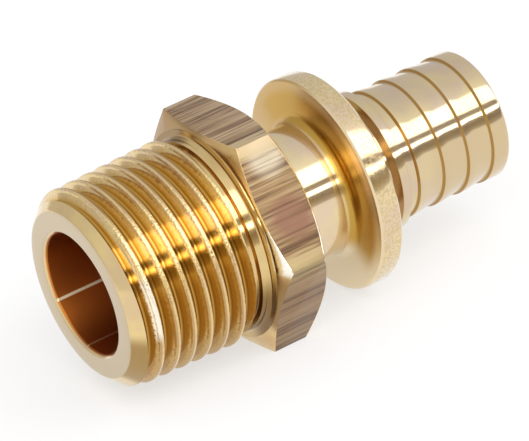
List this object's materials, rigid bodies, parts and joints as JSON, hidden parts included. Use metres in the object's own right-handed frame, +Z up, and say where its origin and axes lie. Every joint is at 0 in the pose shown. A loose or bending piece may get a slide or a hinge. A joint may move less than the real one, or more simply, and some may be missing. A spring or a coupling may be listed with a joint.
{
  "type": "pex male adapter",
  "caption": "Turned brass pipe adapter: male taper thread, hexagon, waisted neck, stop collar and ribbed spigot for plastic pipe, with a stepped bore right through.",
  "frame": {"origin": "below the middle of the length, on the surface that the lowest flat of the hexagon rests on", "axes": "+X along the bore from the thread's end face to the spigot's tip, +Z up from the resting flat"},
  "size_m": [0.0462, 0.0258, 0.0224],
  "materials": {
    "turned_brass": "bright turned",
    "drawn_skin": "dull drawn skin on the hexagon's flats"
  },
  "bodies": {
    "root": {"male_adapter": "turned_brass"}
  },
  "joints": []
}
